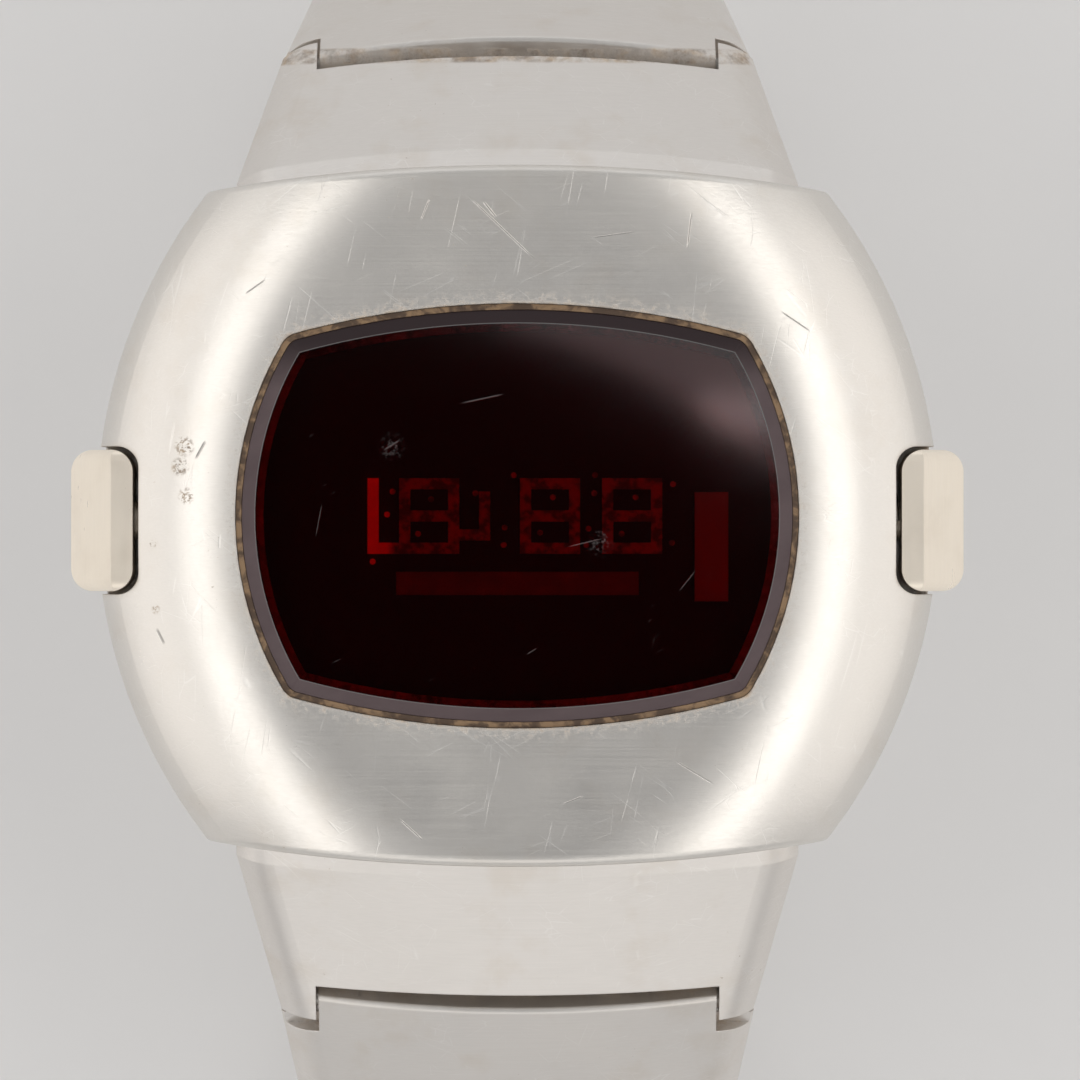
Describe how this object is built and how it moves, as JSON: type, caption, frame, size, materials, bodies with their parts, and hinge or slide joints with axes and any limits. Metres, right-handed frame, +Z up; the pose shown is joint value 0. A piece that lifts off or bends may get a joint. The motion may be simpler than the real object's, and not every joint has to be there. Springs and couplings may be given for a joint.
{
  "type": "led wristwatch",
  "caption": "Digital wristwatch with a dark red window in an oval steel case, two side push buttons, a tapering link bracelet and a folding clasp, closed and standing on the clasp.",
  "frame": {"origin": "on the flat outer face of the closed clasp's cover, under the middle of the case", "axes": "+Z up, out of the face; +Y towards twelve o'clock; +X towards three o'clock"},
  "size_m": [0.0404, 0.0624, 0.0489],
  "materials": {
    "case_steel": "satin brushed across the case, worn",
    "link_steel": "satin brushed across the links, worn",
    "clasp_steel": "pressed sheet, satin",
    "ruby_glass": "very dark red, polished, scratched",
    "rubber": "soft, aged",
    "display_black": "dark ceramic plate",
    "led_red": "unlit diode bars",
    "gold": "gold-plated bonding pads",
    "sensor_glass": "dark window",
    "frame_plastic": "moulded",
    "board_green": "laminate with solder mask",
    "chip_black": "moulded epoxy",
    "can_steel": "drawn can",
    "bronze": "spring bronze",
    "cell_steel": "polished, plated",
    "pin_steel": "drawn wire, cut ends",
    "spring_steel": "drawn wire",
    "magnet_grey": "sintered"
  },
  "bodies": {
    "case": {"case_shell": "case_steel", "crystal": "ruby_glass", "crystal_gasket": "rubber", "display_substrate": "display_black", "led_digits": "led_red", "bond_strip": "gold", "light_sensor": "sensor_glass", "module_frame": "frame_plastic", "circuit_board": "board_green", "timing_chip": "chip_black", "quartz_can": "can_steel", "trimmer": "bronze", "battery_cells": "cell_steel", "battery_springs": "bronze", "switch_contacts": "bronze", "case_back": "case_steel", "back_gasket": "rubber", "back_screws": "pin_steel", "battery_hatch": "case_steel", "hatch_gasket": "rubber", "case_pin_12h": "pin_steel", "case_pin_6h": "pin_steel", "left_button_seal": "rubber", "right_button_seal": "rubber", "left_button_spring": "spring_steel", "right_button_spring": "spring_steel"},
    "left_button": {"left_button": "case_steel", "left_button_clip": "spring_steel"},
    "right_button": {"right_button": "case_steel", "right_button_clip": "spring_steel"},
    "link_12h_1": {"link_12h_1": "link_steel", "pin_12h_1": "pin_steel"},
    "link_12h_2": {"link_12h_2": "link_steel", "pin_12h_2": "pin_steel"},
    "link_12h_3": {"link_12h_3": "link_steel", "pin_12h_3": "pin_steel"},
    "link_12h_4": {"link_12h_4": "link_steel", "pin_12h_4": "pin_steel"},
    "link_12h_5": {"link_12h_5": "link_steel", "pin_12h_5": "pin_steel"},
    "link_12h_6": {"link_12h_6": "link_steel"},
    "link_6h_1": {"link_6h_1": "link_steel", "pin_6h_1": "pin_steel"},
    "link_6h_2": {"link_6h_2": "link_steel", "pin_6h_2": "pin_steel"},
    "link_6h_3": {"link_6h_3": "link_steel", "pin_6h_3": "pin_steel"},
    "link_6h_4": {"link_6h_4": "link_steel", "pin_6h_4": "pin_steel"},
    "link_6h_5": {"link_6h_5": "link_steel", "pin_6h_5": "pin_steel"},
    "link_6h_6": {"link_6h_6": "link_steel", "pin_6h_6": "pin_steel"},
    "inner_blade": {"clasp_inner_blade": "clasp_steel", "setting_magnet": "magnet_grey"},
    "middle_blade": {"clasp_middle_blade": "clasp_steel", "clasp_pin_b": "pin_steel"},
    "cover": {"clasp_cover": "clasp_steel", "clasp_pin_a": "pin_steel", "clasp_bar": "pin_steel"}
  },
  "joints": [
    {"name": "left_button_press", "type": "slide", "parent": "case", "child": "left_button", "axis": [1, 0, 0], "range_m": [0, 0.0002], "stiffness_N_per_m": 400, "springref_m": -0.001, "deforming": ["left_button_spring"]},
    {"name": "right_button_press", "type": "slide", "parent": "case", "child": "right_button", "axis": [-1, 0, 0], "range_m": [0, 0.0002], "stiffness_N_per_m": 400, "springref_m": -0.001, "deforming": ["right_button_spring"]},
    {"name": "hinge_12h_1", "type": "hinge", "parent": "case", "child": "link_12h_1", "pos_m": [0, 0.0132, 0.04444], "axis": [1, 0, 0], "range_deg": [0, 40]},
    {"name": "hinge_12h_2", "type": "hinge", "parent": "link_12h_1", "child": "link_12h_2", "pos_m": [0, 0.02055, 0.03827], "axis": [1, 0, 0], "range_deg": [0, 29]},
    {"name": "hinge_12h_3", "type": "hinge", "parent": "link_12h_2", "child": "link_12h_3", "pos_m": [0, 0.02421, 0.03005], "axis": [1, 0, 0], "range_deg": [0, 21]},
    {"name": "hinge_12h_4", "type": "hinge", "parent": "link_12h_3", "child": "link_12h_4", "pos_m": [0, 0.02516, 0.0211], "axis": [1, 0, 0], "range_deg": [0, 23]},
    {"name": "hinge_12h_5", "type": "hinge", "parent": "link_12h_4", "child": "link_12h_5", "pos_m": [0, 0.02298, 0.01236], "axis": [1, 0, 0], "range_deg": [0, 29]},
    {"name": "hinge_12h_6", "type": "hinge", "parent": "link_12h_5", "child": "link_12h_6", "pos_m": [0, 0.01719, 0.00547], "axis": [1, 0, 0], "range_deg": [0, 27.74]},
    {"name": "hinge_6h_1", "type": "hinge", "parent": "case", "child": "link_6h_1", "pos_m": [0, -0.0132, 0.04444], "axis": [-1, 0, 0], "range_deg": [0, 25.5]},
    {"name": "hinge_6h_2", "type": "hinge", "parent": "link_6h_1", "child": "link_6h_2", "pos_m": [0, -0.02186, 0.04031], "axis": [-1, 0, 0], "range_deg": [0, 18.5]},
    {"name": "hinge_6h_3", "type": "hinge", "parent": "link_6h_2", "child": "link_6h_3", "pos_m": [0, -0.02866, 0.0344], "axis": [-1, 0, 0], "range_deg": [0, 24]},
    {"name": "hinge_6h_4", "type": "hinge", "parent": "link_6h_3", "child": "link_6h_4", "pos_m": [0, -0.03288, 0.02645], "axis": [-1, 0, 0], "range_deg": [0, 28]},
    {"name": "hinge_6h_5", "type": "hinge", "parent": "link_6h_4", "child": "link_6h_5", "pos_m": [0, -0.03335, 0.01747], "axis": [-1, 0, 0], "range_deg": [0, 28]},
    {"name": "hinge_6h_6", "type": "hinge", "parent": "link_6h_5", "child": "link_6h_6", "pos_m": [0, -0.02998, 0.00912], "axis": [-1, 0, 0], "range_deg": [0, 29]},
    {"name": "clasp_swing", "type": "hinge", "parent": "link_6h_6", "child": "inner_blade", "pos_m": [0, -0.02329, 0.0031], "axis": [-1, 0, 0], "range_deg": [0, 30]},
    {"name": "middle_blade_fold", "type": "hinge", "parent": "inner_blade", "child": "middle_blade", "pos_m": [0, 0.00489, 0.00248], "axis": [1, 0, 0], "range_deg": [0, 110]},
    {"name": "cover_fold", "type": "hinge", "parent": "middle_blade", "child": "cover", "pos_m": [0, -0.02099, 0.00248], "axis": [1, 0, 0], "range_deg": [-110, 0]}
  ],
  "couplings": [
    {"joint": "cover_fold", "follows": "middle_blade_fold", "ratio": -1}
  ]
}
